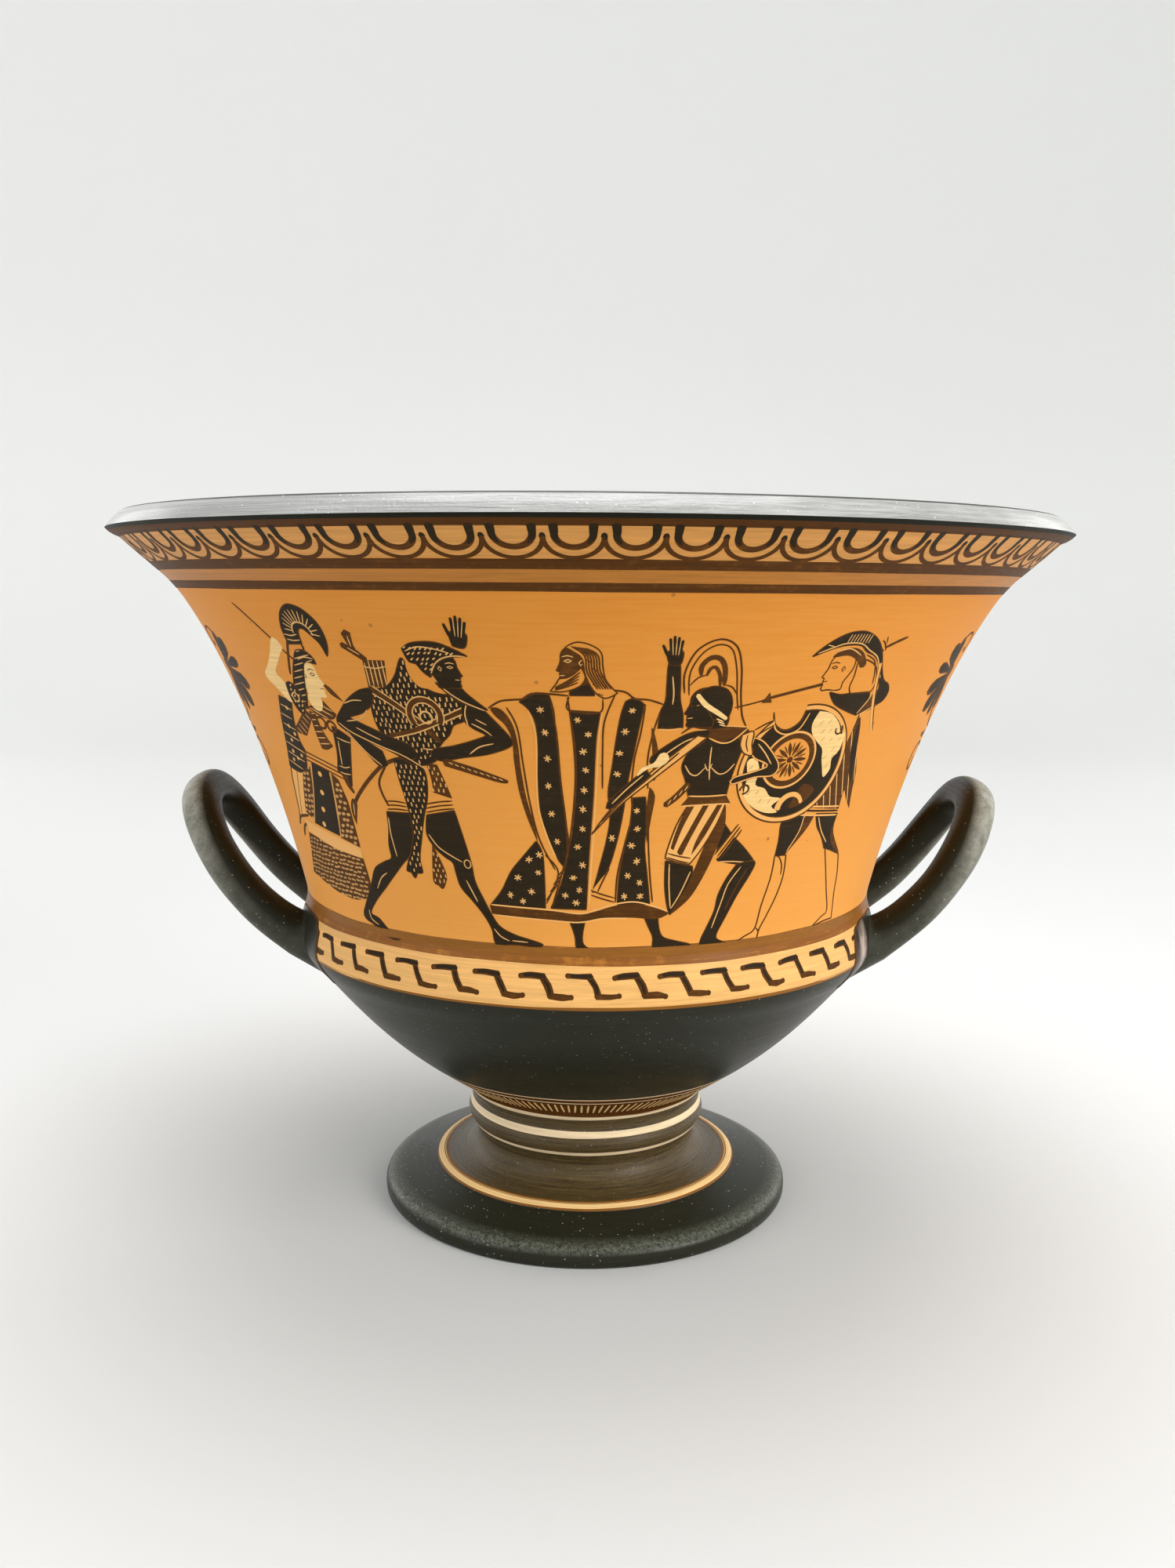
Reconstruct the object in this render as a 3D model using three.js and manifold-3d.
// A calyx krater: a wide mixing bowl on a turned stem and foot, with two upswept handles.
// Units are millimetres, +Z is up, and the origin is the middle of the foot's underside.
// The whole vessel is one piece of fired clay.

import * as THREE from "three";
import { mergeVertices } from "three/addons/utils/BufferGeometryUtils.js";
import Module from "manifold-3d";

// Heights of the main stations, from the foot up.
const footEdgeHeight = 4.0;
const ringHeight = 11.2;
const waistHeight = 18.0;
const torusHeight = 25.5;
const neckHeight = 30.2;
const bellyHeight = 84.5;
const grooveHeight = 96.5;
const wallFootHeight = 102.0;
const wallTopHeight = 185.1;
const lipUndersideHeight = 201.6;
const lipCornerHeight = 203.7;
const rimHeight = 208.4;

// Outer radii at those stations.
const footRadius = 63.4;
const ringRadius = 47.4;
const waistRadius = 34.0;
const torusRadius = 37.1;
const neckRadius = 35.9;
const bellyRadius = 88.4;
const grooveRadius = 86.0;
const wallFootRadius = 86.9;
const wallTopRadius = 119.3;
const lipUndersideRadius = 136.0;
const lipCornerRadius = 139.5;
const rimOuterRadius = 134.4;
const rimInnerRadius = 130.4;

// Clay thickness of the wall, and the inside of the bowl and of the hollow foot.
const wallThickness = 6.2;
const floorHeight = 39.0;
const floorRadius = 34.0;
const footHollowRadius = 50.0;
const footHollowHeight = 24.0;

// Handles: where the centre line starts inside the wall, its bend, and its crown.
const handleRoot = [82.5, 84.0];
const handleElbow = [101.0, 92.5];
const handleRise = [113.0, 112.0];
const handleCrown = [119.2, 125.8];
const handleHalfGapAtRoot = 24.0;
const handleHalfGapAtCrown = 28.0;
const handleSquareness = 0.84;
const handleHalfWidth = 5.9;
const handleHalfDepth = 5.4;
const handlePadSize = [6.8, 6.8, 9.6];

const turns = 48;
const handleSteps = 18;
const handleSideSteps = 6;

const at = (radius, height) => new THREE.Vector2(radius, height);

// Points along a curve between two outline points, without the first one.
function bend(steps, start, ...rest) {
  const Curve = rest.length === 2 ? THREE.QuadraticBezierCurve : THREE.CubicBezierCurve;
  return new Curve(start, ...rest).getPoints(steps).slice(1);
}

// Foot: a disc with a softly rounded edge, sloping up to a small ring.
function footOutline() {
  const bevel = 0.8;
  const edge = at(footRadius, footEdgeHeight);
  return [
    at(footRadius - bevel, 0),
    at(footRadius, bevel),
    edge,
    ...bend(2, edge, at(footRadius, 5.4), at(61.8, 5.7)),
    at(ringRadius + 0.2, 9.5),
    at(ringRadius - 0.6, 10.6),
  ];
}

// Stem: a concave flare above the ring, a rounded torus, and a narrow neck.
function stemOutline() {
  const ring = at(43.4, ringHeight);
  const waist = at(waistRadius, waistHeight);
  const neck = at(neckRadius, neckHeight);
  return [
    ring,
    ...bend(4, ring, at(34.6, 11.9), waist),
    at(torusRadius - 0.9, 22.6),
    at(torusRadius, torusHeight),
    neck,
  ];
}

// Lower bowl: the convex body up to the belly, its widest point below the wall.
function bowlOutline() {
  const neck = at(neckRadius, neckHeight);
  const underside = at(42, 38);
  const shoulder = at(83.4, 76);
  const belly = at(bellyRadius, bellyHeight);
  return [
    ...bend(3, neck, at(36.2, 34.4), underside),
    ...bend(4, underside, at(62, 51), at(70.5, 60.5), shoulder),
    ...bend(3, shoulder, at(bellyRadius - 0.2, 80.4), belly),
  ];
}

// Wall: a soft groove over the belly, then the long flare and the sloping collar under the lip.
function wallOutline() {
  const belly = at(bellyRadius, bellyHeight);
  const groove = at(grooveRadius, grooveHeight);
  const wallFoot = at(wallFootRadius, wallFootHeight);
  const wallTop = at(wallTopRadius, wallTopHeight);
  const collar = at(125.2, 191.9);
  return [
    ...bend(2, belly, at(bellyRadius - 0.4, 90), groove),
    wallFoot,
    ...bend(6, wallFoot, at(93.6, 129.4), at(105.3, 163.8), wallTop),
    ...bend(2, wallTop, at(122.1, 189.2), collar),
    at(lipUndersideRadius, lipUndersideHeight),
  ];
}

// Lip: a sharp outer corner with a bevel above it, and a narrow flat top.
function lipOutline() {
  return [
    at(lipCornerRadius - 0.7, 202.8),
    at(lipCornerRadius, lipCornerHeight),
    at(rimOuterRadius + 1.6, 207.7),
    at(rimOuterRadius, rimHeight),
  ];
}

// The wall's inner face: the outer points moved in by the wall's thickness, each along its normal.
function innerWall(outer) {
  const moved = outer.slice(1, -1).map((spot, index) => {
    const along = outer[index + 2].clone().sub(outer[index]).normalize();
    return at(spot.x - along.y * wallThickness, spot.y + along.x * wallThickness);
  });
  return moved.filter((spot) => spot.x > floorRadius && spot.y > floorHeight);
}

// A closed mesh made by turning an outline about the vertical axis.
function turned(outline) {
  const base = outline[0];
  const top = outline[outline.length - 1];
  const closed = [at(0, base.y), ...outline, at(0, top.y)];
  const geometry = new THREE.LatheGeometry(closed, turns);
  geometry.rotateX(Math.PI / 2);
  return geometry;
}

// A handle's centre line: up and out from one root, over the crown, and back to the other root.
class HandleLine extends THREE.Curve {
  constructor() {
    super();
    const corners = [handleRoot, handleElbow, handleRise, handleCrown];
    this.rise = new THREE.CubicBezierCurve(...corners.map((spot) => at(...spot)));
  }

  getPoint(t, target = new THREE.Vector3()) {
    const angle = Math.PI * t;
    const climb = Math.sin(angle) ** handleSquareness;
    const spread = Math.sign(Math.cos(angle)) * Math.abs(Math.cos(angle)) ** handleSquareness;
    const halfGap = THREE.MathUtils.lerp(handleHalfGapAtRoot, handleHalfGapAtCrown, climb);
    const spot = this.rise.getPoint(climb);
    return target.set(spot.x, -halfGap * spread, spot.y);
  }
}

// One handle on the +X side, as a rounded bar swept along its centre line.
function handle() {
  const section = new THREE.Shape();
  section.absellipse(0, 0, handleHalfWidth, handleHalfDepth, 0, 2 * Math.PI, false, 0);
  return new THREE.ExtrudeGeometry(section, {
    steps: handleSteps,
    curveSegments: handleSideSteps,
    extrudePath: new HandleLine(),
  });
}

// The clay pressed round one root of a handle, on the side given by the sign.
function handlePad(side) {
  const pad = new THREE.SphereGeometry(1, 12, 8);
  pad.scale(...handlePadSize);
  pad.translate(handleRoot[0], side * handleHalfGapAtRoot, handleRoot[1]);
  return pad;
}

const wasm = await Module();
wasm.setup();

// A solid from a closed geometry, once its shared corners are merged.
function solid(geometry) {
  geometry.deleteAttribute("normal");
  geometry.deleteAttribute("uv");
  const merged = mergeVertices(geometry, 1e-3);
  const corners = merged.index.array;
  const kept = [];
  for (let first = 0; first < corners.length; first += 3) {
    const [a, b, c] = corners.slice(first, first + 3);
    if (a !== b && b !== c && c !== a) {
      kept.push(a, b, c);
    }
  }
  const mesh = new wasm.Mesh({
    numProp: 3,
    vertProperties: new Float32Array(merged.attributes.position.array),
    triVerts: new Uint32Array(kept),
  });
  return new wasm.Manifold(mesh);
}

// A geometry from a solid.
function geometryOf(shape) {
  const mesh = shape.getMesh();
  const geometry = new THREE.BufferGeometry();
  geometry.setAttribute("position", new THREE.BufferAttribute(mesh.vertProperties, 3));
  geometry.setIndex(new THREE.BufferAttribute(mesh.triVerts, 1));
  geometry.computeVertexNormals();
  return geometry;
}

// The space inside the bowl, open at the mouth.
function bowlSpace(outer) {
  const aboveRim = rimHeight + 5;
  return turned([
    at(floorRadius * 0.6, floorHeight),
    at(floorRadius, floorHeight + 1.6),
    ...innerWall(outer),
    at(rimInnerRadius, rimHeight),
    at(rimInnerRadius, aboveRim),
  ]);
}

// The hollow under the foot, open below.
function footSpace() {
  const belowFoot = -5;
  return turned([
    at(footHollowRadius, belowFoot),
    at(footHollowRadius, 0),
    at(footHollowRadius - 4, 3),
    at(31, 7),
    at(25, 13),
    at(22, footHollowHeight - 3),
    at(17, footHollowHeight),
  ]);
}

// The whole vessel, with both handles joined on and the two hollows cut out.
function krater() {
  const wall = [...bowlOutline(), ...wallOutline()];
  const outline = [...footOutline(), ...stemOutline(), ...wall, ...lipOutline()];
  const body = solid(turned(outline));
  const right = solid(handle()).add(solid(handlePad(1))).add(solid(handlePad(-1)));
  const left = right.rotate([0, 0, 180]);
  const joined = body.add(right).add(left);
  return geometryOf(joined.subtract(solid(bowlSpace(wall))).subtract(solid(footSpace())));
}

const firedClay = new THREE.MeshStandardMaterial({
  name: "fired clay",
  color: new THREE.Color(0xd8883a),
  roughness: 0.45,
  metalness: 0,
});

const vessel = new THREE.Mesh(krater(), firedClay);
vessel.name = "krater";

const greekKrater = new THREE.Group();
greekKrater.add(vessel);

export default greekKrater;
